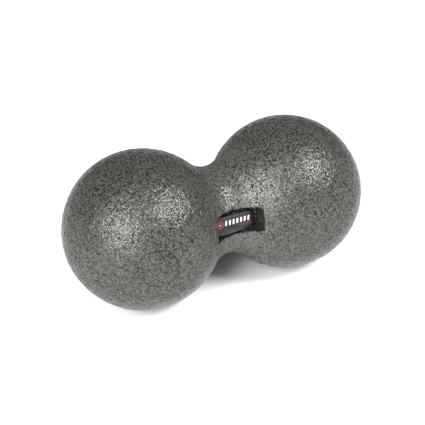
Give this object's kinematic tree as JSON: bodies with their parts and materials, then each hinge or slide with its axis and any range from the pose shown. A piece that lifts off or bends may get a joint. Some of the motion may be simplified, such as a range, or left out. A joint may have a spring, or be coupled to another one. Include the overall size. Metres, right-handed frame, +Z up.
{
  "type": "massage ball",
  "caption": "Double foam massage ball: two balls joined by a waist, moulded as one piece, with a small woven label strap in a pocket in the waist.",
  "frame": {"origin": "centre of the waist, halfway between the two ball centres", "axes": "+X along the line through the two ball centres, +Z up, label pocket on the -Y side"},
  "size_m": [0.16, 0.08, 0.08],
  "materials": {
    "foam": "satin",
    "ribbon": "satin",
    "glue": "matte",
    "emblem": "matte",
    "band": "matte",
    "underline": "matte"
  },
  "bodies": {
    "root": {"foam_body": "foam", "label_strap": "ribbon", "strap_glue_left": "glue", "strap_glue_right": "glue", "label_emblem": "emblem", "label_band": "band", "label_underline": "underline"}
  },
  "joints": []
}
